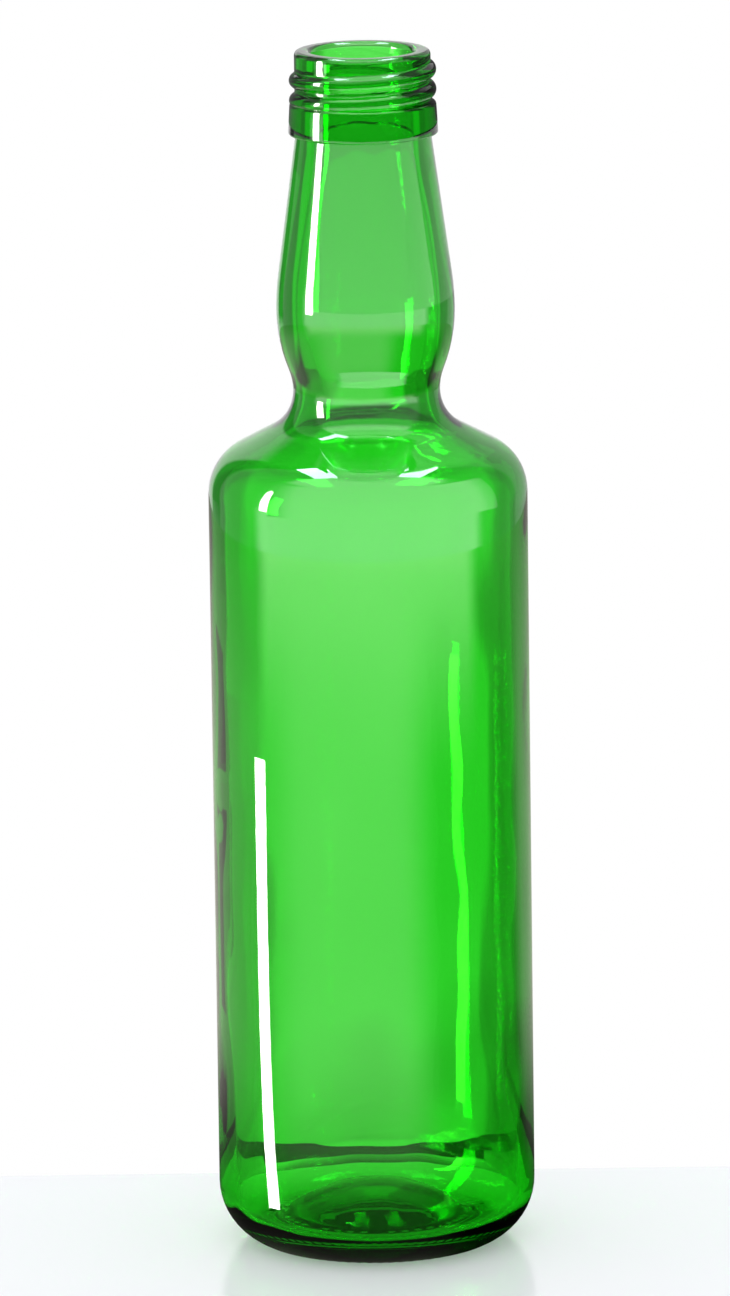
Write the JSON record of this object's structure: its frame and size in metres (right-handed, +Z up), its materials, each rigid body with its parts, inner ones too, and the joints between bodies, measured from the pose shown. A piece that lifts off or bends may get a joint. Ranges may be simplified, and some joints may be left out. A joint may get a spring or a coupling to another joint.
{
  "type": "glass beverage bottle",
  "caption": "Green glass bottle with a straight round body, bulbed neck, capless screw finish with a collar, and a push-up base.",
  "frame": {"origin": "centre of the ring that the bottle stands on", "axes": "+Z up along the bottle's axis, towards the lip; X and Y level, the bottle being round about Z"},
  "size_m": [0.06, 0.06, 0.228],
  "materials": {
    "green_glass": "gloss"
  },
  "bodies": {
    "root": {"bottle": "green_glass"}
  },
  "joints": []
}
